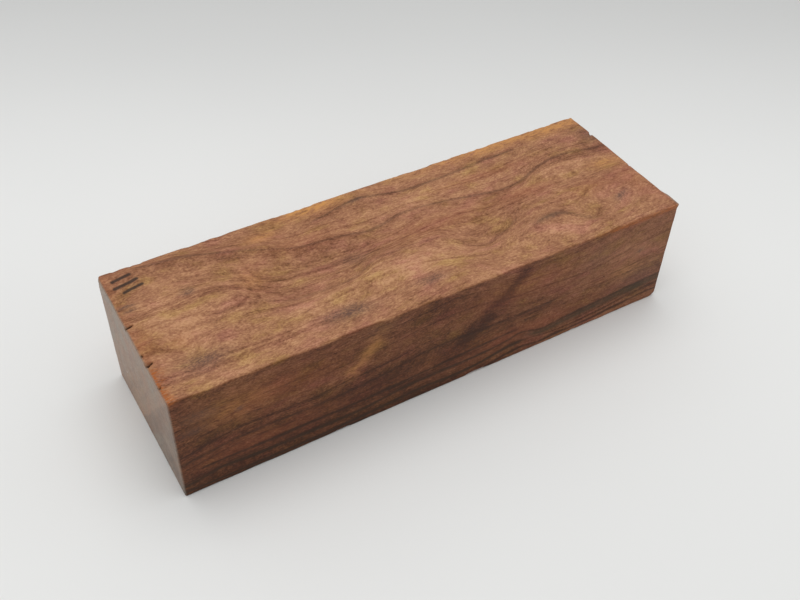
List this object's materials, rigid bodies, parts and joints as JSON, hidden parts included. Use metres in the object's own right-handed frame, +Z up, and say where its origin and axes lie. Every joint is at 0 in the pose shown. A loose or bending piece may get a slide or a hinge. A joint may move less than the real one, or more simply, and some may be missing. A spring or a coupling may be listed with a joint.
{
  "type": "ironwood block",
  "caption": "Solid rectangular hardwood block, sawn and sanded, with softly eased edges and small tear-outs; lies flat on its widest face.",
  "frame": {"origin": "middle of the block's box, on the plane of its bottom face", "axes": "+X along the grain and the length, -Y out of the front long side, +Z up"},
  "size_m": [0.1276, 0.0414, 0.0305],
  "materials": {
    "ironwood": "satin"
  },
  "bodies": {
    "root": {"ironwood_block": "ironwood"}
  },
  "joints": []
}
